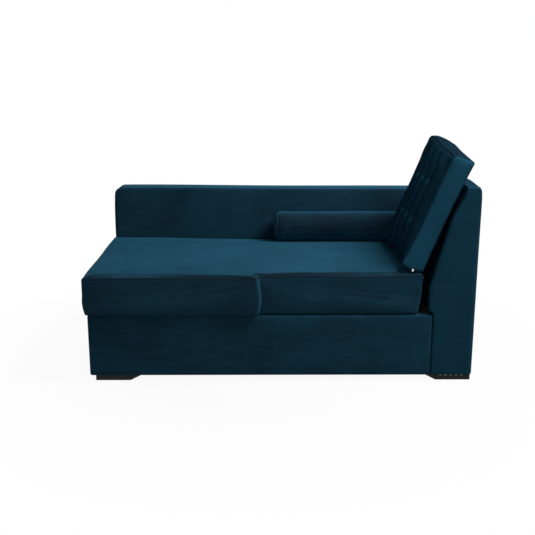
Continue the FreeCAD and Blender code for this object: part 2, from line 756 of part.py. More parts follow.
def tufted(shape, shrink):
    balls = [Part.makeSphere(TUFT_SPHERE + shrink, centre) for centre in tuft_centres()]
    return shape.cut(Part.makeCompound(balls))


def button(centre):
    """Covered button with a round front, its back resting in the ball-shaped hollow."""
    back = FreeCAD.Vector(centre.x + TUFT_SPHERE, centre.y, centre.z)
    body = Part.makeCylinder(BUTTON_RADIUS, BUTTON_HEIGHT, back, FreeCAD.Vector(-1, 0, 0))
    front = back.x - BUTTON_HEIGHT
    body = rounded(body, BUTTON_ROUND, lambda b: at(b.XMin, front) and at(b.XMax, front))
    return body.common(Part.makeSphere(TUFT_SPHERE - SOFT_FIT, centre))


def back_cushion():
    near = -CUSHION_WIDTH / 2
    half_slot = ZIP_SLOT / 2
    wall = CUSHION_COVER + CUT_OVER
    slot = box(-half_slot, half_slot, near - CUT_OVER, near + ZIP_LENGTH, -CUT_OVER, wall)
    slot = slot.fuse(box(-half_slot, half_slot, near - CUT_OVER, near + wall, -CUT_OVER, ZIP_RISE))
    outer = tufted(pillow(0.0), 0.0)
    inner = tufted(pillow(CUSHION_COVER), CUSHION_COVER)
    save("cushion_cover", leaned(outer.cut(inner).cut(slot)))
    foam_shrink = CUSHION_COVER + FOAM_GAP
    save("cushion_foam", leaned(tufted(pillow(foam_shrink), foam_shrink)))
    tape = half_slot - SOFT_FIT
    inset = ZIP_INSET
    deep = inset + TAPE_THICKNESS
    run = box(-tape, tape, near + inset, near + ZIP_LENGTH - CUT_OVER, inset, deep)
    rise = box(-tape, tape, near + inset, near + deep, inset, ZIP_RISE - CUT_OVER)
    save("cushion_zip_tape", leaned(run.fuse(rise).removeSplitter()))
    half_slider = SLIDER_WIDTH / 2
    slider_y = near + REST_GAP
    slider = box(-half_slider, half_slider, slider_y - SLIDER_DEPTH, slider_y, SLIDER_FOOT, SLIDER_HEAD)
    half_tab = TAB_WIDTH / 2
    tab_y = slider_y - SLIDER_DEPTH
    tab = box(-half_tab, half_tab, tab_y - TAB_THICKNESS, tab_y, TAB_FOOT, TAB_HEAD)
    save("cushion_zip_slider", leaned(slider.fuse(tab).removeSplitter()))
    save("cushion_buttons", *[leaned(button(centre)) for centre in tuft_centres()])


# Loose bolster along the arm
BOLSTER_Y = Y_ARM - BOLSTER_RADIUS - REST_GAP
BOLSTER_REST = SEAT_TOP + REST_GAP


def bolster_body(shrink):
    start = FreeCAD.Vector(BOLSTER_FOOT + shrink, BOLSTER_Y, BOLSTER_REST + BOLSTER_RADIUS)
    length = BOLSTER_HEAD - BOLSTER_FOOT - 2 * shrink
    body = Part.makeCylinder(BOLSTER_RADIUS - shrink, length, start, FreeCAD.Vector(1, 0, 0))
    return rounded(body, BOLSTER_ROUND - shrink, lambda b: at(b.XMin, b.XMax))


def bolster():
    middle = (BOLSTER_FOOT + BOLSTER_HEAD) / 2
    half_slot = ZIP_SLOT / 2
    half_run = BOLSTER_ZIP / 2
    low = BOLSTER_REST - CUT_OVER
    high = BOLSTER_REST + BOLSTER_COVER + 2 * CUT_OVER
    slot = box(middle - half_run, middle + half_run, BOLSTER_Y - half_slot, BOLSTER_Y + half_slot, low, high)
    save("bolster_cover", bolster_body(0.0).cut(bolster_body(BOLSTER_COVER)).cut(slot))
    save("bolster_foam", bolster_body(BOLSTER_COVER + CUT_OVER))
    tape = half_slot - SOFT_FIT
    run = half_run - CUT_OVER
    tape_z = BOLSTER_REST + CUT_OVER
    zip_tape = box(
        middle - run,
        middle + run,
        BOLSTER_Y - tape,
        BOLSTER_Y + tape,
        tape_z,
        tape_z + TAPE_THICKNESS,
    )
    save("bolster_zip", zip_tape)


near_side()
arm()
back()
feet()
base_inside()
runners()
seat()
foot_panel()
back_cushion()
bolster()
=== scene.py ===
"""Pull-out sofa bed: upholstery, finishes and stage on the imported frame."""
import json
import math

import bpy
import numpy as np
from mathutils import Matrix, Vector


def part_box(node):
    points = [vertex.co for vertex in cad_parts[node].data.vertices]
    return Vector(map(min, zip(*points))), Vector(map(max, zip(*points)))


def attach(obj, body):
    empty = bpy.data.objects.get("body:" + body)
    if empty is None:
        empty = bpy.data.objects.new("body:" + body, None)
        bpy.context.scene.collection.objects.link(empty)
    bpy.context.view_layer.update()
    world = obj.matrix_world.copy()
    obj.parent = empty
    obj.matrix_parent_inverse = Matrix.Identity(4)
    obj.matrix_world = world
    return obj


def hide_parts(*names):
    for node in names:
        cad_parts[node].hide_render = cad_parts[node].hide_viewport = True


bl_info = {
    "name": "Pull-out sofa bed",
    "version": (1, 0, 0),
    "blender": (4, 5, 0),
    "location": "View3D > Sidebar > Sofa",
    "description": "Dresses the sofa's frame in velvet upholstery and sets its stage",
    "category": "Object",
}

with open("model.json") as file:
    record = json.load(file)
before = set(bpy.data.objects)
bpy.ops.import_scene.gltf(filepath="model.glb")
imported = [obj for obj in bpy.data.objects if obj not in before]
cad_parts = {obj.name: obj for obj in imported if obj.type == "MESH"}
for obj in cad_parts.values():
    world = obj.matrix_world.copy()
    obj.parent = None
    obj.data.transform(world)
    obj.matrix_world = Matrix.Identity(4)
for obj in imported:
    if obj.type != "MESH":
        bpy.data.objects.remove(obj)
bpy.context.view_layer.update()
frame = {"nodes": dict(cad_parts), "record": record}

# Nets and simulated cloth
EDGE_STATIONS = 6
PANEL_STEP = 0.02
CORD_RADIUS = 0.0022
SWELL_FRAMES = 20
SWELL_PRESSURE = 4.0
HOLD_LEVELS = (0.25, 0.5, 0.75, 1.0)

# Arm, back, deck sheet in painted shade, and staples
ARM_STEP = 0.008
ARM_END_CROWN = 0.010
ARM_TOP_CROWN = 0.002
BACK_STEP = 0.009
BACK_TOP = 0.059
SLOPE_START = 0.383
BACK_END_CROWN = 0.003
ROLL_WIDTH = 0.046
CLOTH_GAP = 0.0004
CLOTH_THICKNESS = 0.0016
CLOTH_STRIP = 0.035
STAPLE = np.array([0.008, 0.0014, 0.0011])
STAPLE_PITCH = 0.021
STAPLE_COUNT = 5

# Seat pad
SEAT_NET = 0.011
SEAT_CROWN = (0.002, 0.002, 0.003)
SEAT_RAKE = 0.026
# Painted shade on the seat's rolled near top edge.
SEAT_ROLL_SHADE = 0.55
STEP_FALL = np.array([0.0012, 0.0024, 0.0036])
STEP_BOW = 0.010
INNER_TUCK = 0.45

# Back cushion
CUSHION_SIZE = np.array([0.080, 0.530, 0.463])
CUSHION_FOOT = np.array([0.525, -0.120, 0.456])
CUSHION_LEAN = math.radians(21.7)
CUSHION_EDGE = 0.006
CUSHION_NET = 0.006
TUFT_COLUMNS = (-0.105, 0.0, 0.105)
TUFT_ROWS = (0.160, 0.323)
TUFT_WIDTH = 0.015
BUTTON_SEAT = 0.0475
CREASE_WIDTH = 0.012
CREASE_SWAY = 0.004
FOLD_DEPTH = 0.004
REAR_CROWN = 0.005
FACE_BEHIND = -0.02

# Bolster
BOLSTER_END = 0.028
BOLSTER_NET = 0.005
# Painted bounce light under the bolster: from height, to height, amount.
BOLSTER_BOUNCE_PAINT = (0.448, 0.510, 1.25)
PUCKER_COUNT = 18
PUCKER_DEPTH = 0.0012
SLACK_DEPTH = 0.0015

# Stage
FLOOR_REACH = 9.0
FLOOR_DULL = 0.25
FLOOR_GLOW = 0.93
WORLD_LIGHT = 0.05
LAMPS = (
    ("key_softbox", (2.0, -0.8, 3.2), (0.0, 0.0, 0.4), 1.5, 105.0),
    ("front_fill", (-0.5, -4.2, 0.8), (-0.2, 0.0, 0.3), 1.6, 11.0),
)
CAMERA_PLACE = (-0.0615, -3.412, 1.201)
CAMERA_PITCH = math.radians(13.7)
CAMERA_YAW = math.radians(0.3)
IMAGE_PIXELS = 535
FOCAL_PIXELS = 800.0

FINISH = {}


def node_box(node):
    """Lowest and highest corner of a CAD node."""
    return np.array(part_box(node), dtype=float)


SEAT_LOW, SEAT_HIGH = node_box("seat_cover")
BACK_LOW, BACK_HIGH = node_box("back_cover")
BASE_LOW, BASE_HIGH = node_box("near_side_cover")
ARM_LOW, ARM_HIGH = node_box("arm_cover")


def metres(name, description, default):
    """Length of a property group."""
    return bpy.props.FloatProperty(name=name, description=description, default=default, unit="LENGTH")


def tint(name, description, default):
    """Colour of a property group."""
    return bpy.props.FloatVectorProperty(name=name, description=description, default=default, subtype="COLOR")


class SofaSizes(bpy.types.PropertyGroup):
    """Sizes of the upholstery that a user would change."""

    panel_edge: metres("Panel edge", "Rounding of the base's padded panels", 0.009)
    panel_swell: metres("Panel swell", "Padding over the boards", 0.003)
    arm_edge: metres("Arm edge", "Rounding of the arm's edges", 0.008)
    arm_corner: metres("Arm corner", "Radius of the arm's foot-end top corner", 0.030)
    arm_rise: metres("Arm rise", "Rise of the arm's top to its foot end", 0.006)
    back_edge: metres("Back edge", "Rounding of the back block's front edges", 0.007)
    back_corner: metres("Back corner", "Radius of the back block's upright rear edges", 0.018)
    back_shoulder: metres("Back shoulder", "Radius of the back's top rear edge before the slope", 0.048)
    back_crown: metres("Back crown", "Fall of the back's top to its ends", 0.008)
    back_roll: metres("Back roll", "Reach of the back's fuller near edge", 0.020)
    seat_edge: metres("Seat edge", "Rounding of the seat pad", 0.011)
    seat_under: metres("Seat under edge", "Height of the seat's lower rounding", 0.007)
    seat_rise: metres("Seat rise", "Rise of the seat by the arm's foot end", 0.011)
    seat_droop: metres("Seat droop", "Fall of the seat's top to its near edge", 0.005)
    seat_swell: metres("Seat swell", "How far the seat's cloth may fill out", 0.006)
    foot_tuck: metres("Foot tuck", "Tuck of the seat's foot end", 0.014)
    step_x: metres("Step", "Place of the step in the seat's near side", -0.078)
    step_round: metres("Step round", "Radius of the step's outer corner", 0.014)
    cushion_lean: bpy.props.FloatProperty(
        name="Cushion lean", description="Lean of the back cushion", default=CUSHION_LEAN, subtype="ANGLE"
    )
    cushion_swell: metres("Cushion swell", "How far the cushion's cloth may fill out", 0.010)
    cushion_crown: metres("Cushion crown", "Height of the cushion's face", 0.024)
    channel_depth: metres("Channel depth", "Depth of the creases between the buttons", 0.011)
    bolster_swell: metres("Bolster swell", "How far the bolster's cloth may fill out", 0.004)


class SofaColours(bpy.types.PropertyGroup):
    """Colours of the finishes."""

    # Ends of the velvet's tone: random nap tone, painted sheen, painted shade and painted bounce light mix
    # between them.
    velvet_deep: tint("Velvet deep", "Velvet against the nap", (0.0084, 0.025, 0.042))
    velvet_light: tint("Velvet light", "Velvet along the nap", (0.0205, 0.110, 0.185))
    velvet_sheen: tint("Velvet sheen", "Tint of the pile's sheen", (0.05, 0.45, 0.70))
    foot_stain: tint("Foot stain", "Stain of the feet", (0.004, 0.004, 0.004))
    timber_pale: tint("Timber", "Pale softwood", (0.62, 0.42, 0.22))
    floor_white: tint("Floor", "Pale studio floor", (0.88, 0.88, 0.88))


# Grids and surfaces
def stations(low, high, first, last, step):
    """Places along a side: close within the rounded edges, one step apart between."""
    count = max(2, int(round((high - low - first - last) / step)) + 1)
    middle = np.linspace(low + first, high - last, count)
    ends = [low + np.linspace(0.0, first, EDGE_STATIONS), high - np.linspace(0.0, last, EDGE_STATIONS)]
    return np.unique(np.concatenate([*ends, middle]).round(7))


def box_grid(xs, ys, zs):
    """Welded grid over a box's six sides; faces look outwards."""
    sides = (xs, ys, zs)
    count = [len(s) for s in sides]
    quads = []
    for axis in range(3):
        u, v = (axis + 1) % 3, (axis + 2) % 3
        a, b = np.meshgrid(np.arange(count[u]), np.arange(count[v]), indexing="ij")
        for end in (0, count[axis] - 1):
            index = {axis: np.full_like(a, end), u: a, v: b}
            code = np.ravel_multi_index((index[0], index[1], index[2]), count)
            loop = [code[:-1, :-1], code[1:, :-1], code[1:, 1:], code[:-1, 1:]]
            if end == 0:
                loop = loop[::-1]
            quads.append(np.stack(loop, axis=-1).reshape(-1, 4))
    used, faces = np.unique(np.concatenate(quads), return_inverse=True)
    i, j, k = np.unravel_index(used, count)
    return np.stack([xs[i], ys[j], zs[k]], axis=1), faces.reshape(-1, 4)


def rounded_block(low, high, edge, step, under=None, extra_x=()):
    """Box whose points are drawn to one edge radius from the box shrunk by it.

    under is the height of a flatter rounding along the bottom, and extra_x gives more stations along X.
    """
    below = np.array([edge, edge, under or edge])
    above = np.full(3, edge)
    axes = [stations(low[i], high[i], below[i], above[i], step) for i in range(3)]
    axes[0] = np.union1d(axes[0], extra_x)
    points, faces = box_grid(*axes)
    core = np.clip(points, low + below, high - above)
    away = points - core
    radius = np.where(away < 0.0, below, above)
    away = away / radius
    away /= np.linalg.norm(away, axis=1, keepdims=True)
    return core + away * radius, faces


def joined_blocks(corners, edge, step):
    """Net of several small rounded blocks, from their lowest and highest corners."""
    points, faces, count = [], [], 0
    for low, high in corners:
        block, quads = rounded_block(np.array(low), np.array(high), edge, step)
        points.append(block)
        faces.append(quads + count)
        count += len(block)
    return np.concatenate(points), np.concatenate(faces)


def unit(t):
    """Held between 0 and 1."""
    return np.clip(t, 0.0, 1.0)


def smooth(t):
    """Smooth step from 0 to 1."""
    t = unit(t)
    return t * t * (3.0 - 2.0 * t)


def bell(t):
    """Bell curve, 1 at 0."""
    return np.exp(-(t**2))


def moved(points, axis, amount):
    """Points shifted along one axis."""
    out = points.copy()
    out[:, axis] += amount
    return out


def crowned(points, low, high, heights, power):
    """Each pair of sides swells by its height times (1 - |u|^p)(1 - |v|^p) over the side."""
    t = 2.0 * (points - low) / (high - low) - 1.0
    fill = 1.0 - unit(np.abs(t)) ** power
    out = points.copy()
    for axis, height in enumerate(heights):
        u, v = (axis + 1) % 3, (axis + 2) % 3
        out[:, axis] += np.sign(t[:, axis]) * np.abs(t[:, axis]) ** 3 * height * fill[:, u] * fill[:, v]
    return out


def round_corner(points, axes, corner, ways, radius, edge):
    """Corner made round: past the arc's centre each offset goes to the circle of its size.

    The size is 1 on the corner's outline before, a square with the given edge rounding: the larger
    offset over the radius, or, in the edge's arc, the root of the quadratic that puts it on that arc.
    """
    a, b = axes
    da = np.maximum((points[:, a] - corner[0]) * ways[0] + radius, 0.0)
    db = np.maximum((points[:, b] - corner[1]) * ways[1] + radius, 0.0)
    reach = radius - edge
    straight = np.maximum(da, db) / radius
    lead = 2.0 * reach**2 - edge**2
    root = np.sqrt(np.maximum(edge**2 * (da**2 + db**2) - reach**2 * (da - db) ** 2, 0.0))
    size = np.where(np.minimum(da, db) > reach * straight, (reach * (da + db) - root) / lead, straight)
    shrink = radius * size / np.maximum(np.hypot(da, db), 1e-9)
    inside = (da > 0) & (db > 0)
    out = points.copy()
    out[:, a] = np.where(inside, corner[0] + ways[0] * (da * shrink - radius), out[:, a])
    out[:, b] = np.where(inside, corner[1] + ways[1] * (db * shrink - radius), out[:, b])
    return out


def ripple(points, size, height):
    """Slow uneven sag of stretched cloth: a few crossed sine waves of the given size."""
    x, y, z = (points * (2.0 * math.pi / size)).T
    wave = np.sin(x * 1.00 + 0.7 * z + 0.4) * np.sin(z * 1.31 + 1.1 + 0.5 * y)
    wave += 0.6 * np.sin(y * 1.17 + 2.3 + 0.8 * x) * np.sin(x * 0.53 + z * 0.9)
    return wave * height


def new_object(name, data):
    """Object of the scene."""
    made = bpy.data.objects.new(name, data)
    bpy.context.scene.collection.objects.link(made)
    return made


def new_piece(name, points, faces):
    """Mesh object at the origin with smooth faces, from an array or a list of faces."""
    mesh = bpy.data.meshes.new(name)
    mesh.from_pydata(points.tolist(), [], faces.tolist() if isinstance(faces, np.ndarray) else faces)
    mesh.shade_smooth()
    mesh.update()
    return new_object(name, mesh)


def read_points(mesh, kind="co"):
    """Place or normal of every point."""
    flat = np.empty(len(mesh.vertices) * 3)
    mesh.vertices.foreach_get(kind, flat)
    return flat.reshape(-1, 3)


def write_points(mesh, points):
    """Moves every point to its row."""
    mesh.vertices.foreach_set("co", points.reshape(-1))
    mesh.update()


def paint_shade_on_points(piece, amount):
    """Painted shade at each point, stored on the mesh: the velvet's colour is painted darker by it, and
    lighter where it is negative (painted highlight).
    """
    painted_shade = piece.data.attributes.new("painted_light", "FLOAT", "POINT")
    painted_shade.data.foreach_set("value", amount)


def bake_modifiers(piece):
    """The piece's mesh becomes what its modifiers make of it."""
    graph = bpy.context.evaluated_depsgraph_get()
    made = bpy.data.meshes.new_from_object(piece.evaluated_get(graph))
    piece.modifiers.clear()
    piece.data = made


def tube(path, axis, radius):
    """Round cord along a ring of points: circles across the axis and the ring's outward side."""
    axis = np.array(axis, dtype=float)
    along = np.roll(path, -1, axis=0) - np.roll(path, 1, axis=0)
    along /= np.linalg.norm(along, axis=1, keepdims=True)
    side = np.cross(along, axis)
    side /= np.linalg.norm(side, axis=1, keepdims=True)
    turn = np.linspace(0.0, 2.0 * math.pi, 9)[:-1]
    ring = np.cos(turn)[None, :, None] * side[:, None, :] + np.sin(turn)[None, :, None] * axis
    points = path[:, None, :] + radius * ring
    rows, columns = len(path), len(turn)
    i, j = np.meshgrid(np.arange(rows), np.arange(columns), indexing="ij")
    m, n = (i + 1) % rows, (j + 1) % columns
    quads = np.stack([i * columns + j, m * columns + j, m * columns + n, i * columns + n], axis=-1)
    return points.reshape(-1, 3), quads.reshape(-1, 4)


def blow_up(piece, cap, held):
    """Cloth under an even pressure, each point moved by no more than the cap."""
    scene = bpy.context.scene
    rest = read_points(piece.data)
    hold = held(rest)
    group = piece.vertex_groups.new(name="held")
    for level in HOLD_LEVELS:
        group.add(np.nonzero(hold >= level)[0].tolist(), level, "REPLACE")
    cloth = piece.modifiers.new("swell", "CLOTH")
    settings = cloth.settings
    settings.use_pressure = True
    settings.uniform_pressure_force = SWELL_PRESSURE
    settings.vertex_group_mass = group.name
    settings.effector_weights.gravity = 0.0
    cloth.collision_settings.use_collision = False
    cloth.point_cache.frame_end = SWELL_FRAMES
    for step in range(1, SWELL_FRAMES + 1):
        scene.frame_set(step)
    graph = bpy.context.evaluated_depsgraph_get()
    blown = read_points(piece.evaluated_get(graph).data)
    piece.modifiers.clear()
    piece.vertex_groups.clear()
    scene.frame_set(1)
    shift = blown - rest
    length = np.linalg.norm(shift, axis=1, keepdims=True)
    shift *= np.minimum(1.0, cap / np.maximum(length, 1e-9))
    write_points(piece.data, rest + shift)


def swelled(piece, voxel, cap, held):
    """Closed cloth filled out and made finer; held(points) is how far each point stays put.

    A voxel size first gives the cloth an even net.
    """
    if voxel:
        net = piece.modifiers.new("even_net", "REMESH")
        net.mode = "VOXEL"
        net.voxel_size = voxel
        bake_modifiers(piece)
    blow_up(piece, cap, held)
    finer = piece.modifiers.new("finer", "SUBSURF")
    finer.levels = finer.render_levels = 1
    bake_modifiers(piece)
    piece.data.shade_smooth()


def dress(piece, material, body, nodes):
    """Finish, body and the CAD nodes that the piece stands for."""
    piece.data.materials.clear()
    piece.data.materials.append(material)
    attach(piece, body)
    if nodes:
        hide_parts(*nodes)


# Materials
def new_group(name, inputs, outputs):
    """Node group of numbers with its input and output nodes."""
    group = bpy.data.node_groups.new(name, "ShaderNodeTree")
    for way, labels in (("INPUT", inputs), ("OUTPUT", outputs)):
        for label in labels:
            group.interface.new_socket(name=label, in_out=way, socket_type="NodeSocketFloat")
    return group, group.nodes.new("NodeGroupInput"), group.nodes.new("NodeGroupOutput")


def feed(tree, socket, source):
    """Sets a socket to a value or links it to another socket."""
    if isinstance(source, bpy.types.NodeSocket):
        tree.links.new(source, socket)
    else:
        socket.default_value = source


def dial(tree, node, **inputs):
    """Feeds a node's inputs by name; an underscore stands for a space."""
    for label, source in inputs.items():
        feed(tree, node.inputs[label.replace("_", " ")], source)
    return node


def add_node(tree, kind, **inputs):
    """New shader node with its inputs set."""
    return dial(tree, tree.nodes.new("ShaderNode" + kind), **inputs)


def here(tree):
    """Object coordinates."""
    return add_node(tree, "TexCoord").outputs["Object"]


def noise(tree, vector, scale, detail, stretch=(1.0, 1.0, 1.0), distortion=0.0):
    """Noise on stretched coordinates."""
    vector = add_node(tree, "Mapping", Vector=vector, Scale=stretch).outputs["Vector"]
    texture = add_node(tree, "TexNoise", Vector=vector, Scale=scale, Detail=detail, Distortion=distortion)
    return texture.outputs["Fac"]


def maths(tree, kind, *values):
    """Numbers or sockets taken together by one operation."""
    node = add_node(tree, "Math")
    node.operation = kind
    for socket, value in zip(node.inputs, values):
        feed(tree, socket, value)
    return node.outputs["Value"]


def spread(tree, value, low, high):
    """Value mapped from low..high to 0..1, held at the ends."""
    return add_node(tree, "MapRange", Value=value, From_Min=low, From_Max=high).outputs["Result"]


def nap_group():
    """Pressed patches, brush strokes and single fibres of a velvet pile."""
    group, given, out = new_group("pile_nap", ["Patch Scale", "Stroke"], ["Shade", "Fibre"])
    place = here(group)
    patch = noise(group, place, given.outputs["Patch Scale"], 4.0, distortion=0.6)
    shade = maths(group, "MULTIPLY", spread(group, patch, 0.32, 0.68), 0.65)
    stroke = spread(group, noise(group, place, 22.0, 3.0, (0.5, 0.5, 2.4)), 0.3, 0.7)
    shade = maths(group, "MULTIPLY_ADD", stroke, given.outputs["Stroke"], shade)
    pile = noise(group, place, 900.0, 2.0)
    shade = maths(group, "MULTIPLY_ADD", maths(group, "SUBTRACT", pile, 0.5), 0.5, shade)
    fibre = maths(group, "MULTIPLY_ADD", patch, 0.5, pile)
    dial(group, out, Shade=shade, Fibre=fibre)


def grain_group():
    """Long grain and short pores of timber, running along X."""
    group, given, out = new_group("wood_grain", ["Scale"], ["Grain", "Pores"])
    place = here(group)
    rings = noise(group, place, given.outputs["Scale"], 5.0, (0.12, 1.0, 1.0), 1.4)
    pores = noise(group, place, 240.0, 2.0, (0.08, 1.0, 1.0))
    dial(group, out, Grain=spread(group, rings, 0.3, 0.7), Pores=pores)


def wear_group():
    """Fine scuffs that change a finish's roughness."""
    group, given, out = new_group("scuffs", ["Scale"], ["Scuff"])
    marks = noise(group, here(group), given.outputs["Scale"], 6.0)
    dial(group, out, Scuff=spread(group, marks, 0.35, 0.7))


def use_group(tree, name, **inputs):
    """Group node with its inputs set."""
    node = add_node(tree, "Group")
    node.node_tree = bpy.data.node_groups[name]
    return dial(tree, node, **inputs)


def blank_material(name):
    """New material with a Principled shader on its output."""
    material = bpy.data.materials.new(name)
    material.use_nodes = True
    shader = material.node_tree.nodes["Principled BSDF"]
    return material, material.node_tree, shader


def two_tone(tree, shader, mask, first, second):
    """Base Color from first to second by the mask."""
    mix = add_node(tree, "Mix")
    mix.data_type = "RGBA"
    for place, source in ((0, mask), (6, (*first, 1.0)), (7, (*second, 1.0))):
        feed(tree, mix.inputs[place], source)
    dial(tree, shader, Base_Color=mix.outputs[2])


def bumped(tree, shader, height, strength, distance):
    """Normal roughened by a height."""
    bump = add_node(tree, "Bump", Strength=strength, Distance=distance, Height=height)
    dial(tree, shader, Normal=bump.outputs["Normal"])


def velvet(name, patch_scale, stroke, base, painted_rim_light, sheen=0.12, gloss=0.05, under=None):
    """Deep pile: base is its shade face-on. The rim amount paints sheen into the colour: the colour is
    painted lighter where the surface turns away from the camera, and darker there (painted shade) when it is
    negative.

    under = (low, high, amount) paints light into the colour below a height, fading from low to high: painted
    bounce light on the underside.
    """
    colours = bpy.context.scene.sofa_colours
    material, tree, shader = blank_material(name)
    nap = use_group(tree, "pile_nap", Patch_Scale=patch_scale, Stroke=stroke)
    # Painted sheen at grazing view; a negative amount paints shade there instead.
    turned = add_node(tree, "LayerWeight")
    rim = maths(tree, "POWER", turned.outputs["Facing"], 2.4)
    shade = maths(tree, "MULTIPLY_ADD", nap.outputs["Shade"], 0.42, base)
    shade = maths(tree, "MULTIPLY_ADD", rim, painted_rim_light, shade)
    # Painted shade stored on the points; a negative value paints a highlight.
    painted_shade = add_node(tree, "Attribute")
    painted_shade.attribute_name = "painted_light"
    shade = maths(tree, "SUBTRACT", shade, painted_shade.outputs["Fac"])
    # Painted bounce light below a height.
    if under:
        low, high, amount = under
        height = add_node(tree, "SeparateXYZ", Vector=here(tree)).outputs["Z"]
        shade = maths(tree, "MULTIPLY_ADD", spread(tree, height, high, low), amount, shade)
    two_tone(tree, shader, shade, colours.velvet_deep, colours.velvet_light)
    dial(tree, shader, Roughness=0.9, Specular_IOR_Level=gloss)
    dial(tree, shader, Sheen_Weight=sheen, Sheen_Roughness=0.4, Sheen_Tint=(*colours.velvet_sheen, 1.0))
    bumped(tree, shader, nap.outputs["Fibre"], 0.35, 0.0008)
    return material


def timber(name, dark, pale, scale, rough):
    """Wood with long grain and fine pores."""
    material, tree, shader = blank_material(name)
    grain = use_group(tree, "wood_grain", Scale=scale)
    two_tone(tree, shader, grain.outputs["Grain"], dark, pale)
    dial(tree, shader, Roughness=rough, Specular_IOR_Level=0.2)
    bumped(tree, shader, grain.outputs["Pores"], 0.25, 0.0006)
    return material


def metal(name, colour, low, high):
    """Bare metal whose scuffs run from the low to the high roughness."""
    material, tree, shader = blank_material(name)
    scuff = use_group(tree, "scuffs", Scale=90.0).outputs["Scuff"]
    two_tone(tree, shader, scuff, colour, [0.75 * c for c in colour])
    rough = add_node(tree, "MapRange", Value=scuff, To_Min=low, To_Max=high)
    dial(tree, shader, Roughness=rough.outputs["Result"], Metallic=1.0)
    return material


def moulded(name, colour, rough):
    """Moulded plastic or rubber with faint scuffs."""
    material, tree, shader = blank_material(name)
    scuff = use_group(tree, "scuffs", Scale=140.0).outputs["Scuff"]
    two_tone(tree, shader, scuff, colour, [1.25 * c for c in colour])
    dial(tree, shader, Roughness=rough)
    bumped(tree, shader, scuff, 0.15, 0.0003)
    return material


class SOFA_OT_finishes(bpy.types.Operator):
    """Makes the finishes and puts them on the frame's timber, metal and plastic nodes."""

    bl_idname = "sofa.finishes"
    bl_label = "Finishes"

    def execute(self, context):
        colours = context.scene.sofa_colours
        nap_group()
        grain_group()
        wear_group()
        pale = tuple(colours.timber_pale)
        stain = tuple(colours.foot_stain)
        matt = {"sheen": 0.02, "gloss": 0.0}
        FINISH.update(
            # Lit and shaded copies of one velvet, with sheen and shade painted in by view angle.
            velvet=velvet("teal_velvet", 3.2, 0.30, base=0.15, painted_rim_light=0.80),
            # Painted lighter than the main velvet for the base's fronts.
            velvet_base=velvet("base_velvet", 5.0, 0.40, base=0.22, painted_rim_light=0.80),
            # Lighter face-on, with painted shade on up-facing tops seen at grazing angles.
            velvet_back=velvet("back_velvet", 2.6, 0.30, base=0.30, painted_rim_light=-0.50, sheen=0.03, gloss=0.0),
            # Lighter face-on at the near side, with painted shade on the face and top seen at grazing angles.
            velvet_cushion=velvet("cushion_velvet", 5.0, 0.35, base=0.78, painted_rim_light=-0.66, **matt),
            # Darker face-on, a strong painted sheen at the rims and painted bounce light underneath.
            velvet_bolster=velvet("bolster_velvet", 6.0, 0.35, base=-0.20, painted_rim_light=1.60, under=BOLSTER_BOUNCE_PAINT),
            # The seam cord's copy is painted darker at grazing angles.
            seam=velvet("seam_cord", 30.0, 0.60, base=0.45, painted_rim_light=-0.40, **matt),
            # Lighter velvet with more sheen: the buttons give painted highlight specks at the tufts.
            button=velvet("button_painted_highlight", 40.0, 0.60, base=0.85, painted_rim_light=0.0, sheen=0.40, gloss=0.10),
            timber=timber("pale_timber", [0.6 * c for c in pale], pale, 14.0, 0.65),
            plywood=timber("plywood", [0.55 * c for c in pale], [0.9 * c for c in pale], 8.0, 0.7),
            stained_wood=timber("stained_feet", stain, [2.0 * c for c in stain], 20.0, 0.5),
            steel=metal("zinc_steel", (0.30, 0.31, 0.32), 0.40, 0.60),
            black_steel=metal("black_steel", (0.02, 0.02, 0.021), 0.50, 0.70),
            zip_metal=metal("zip_slider", (0.80, 0.80, 0.80), 0.08, 0.2),
            nylon=moulded("white_nylon", (0.62, 0.62, 0.58), 0.5),
            rubber=moulded("grey_rubber", (0.045, 0.045, 0.047), 0.75),
            zip_tape=moulded("zip_tape", (0.006, 0.022, 0.035), 0.9),
            # Near-black: painted shade for the gap behind the seat's end.
            lining=moulded("lining_painted_shade", (0.002, 0.002, 0.0025), 0.95),
            foam=moulded("foam", (0.66, 0.60, 0.40), 0.95),
        )
        coats = {entry["node"]: entry["material_slot"] for entry in frame["record"]["subparts"]}
        # The buttons take the painted highlight velvet.
        coats.update(cushion_buttons="button", foot_panel_angles="black_steel")
        for name, finish in coats.items():
            for place in frame["nodes"][name].material_slots:
                place.material = FINISH[finish]
        return {"FINISHED"}


def panel(name, low, high, edge, heights, shapers, step=PANEL_STEP):
    """Padded panel: rounded block, crowned, then shaped."""
    points, faces = rounded_block(low, high, edge, step)
    points = crowned(points, low, high, heights, 6)
    for shaper in shapers:
        points = shaper(points)
    return new_piece(name, points, faces)


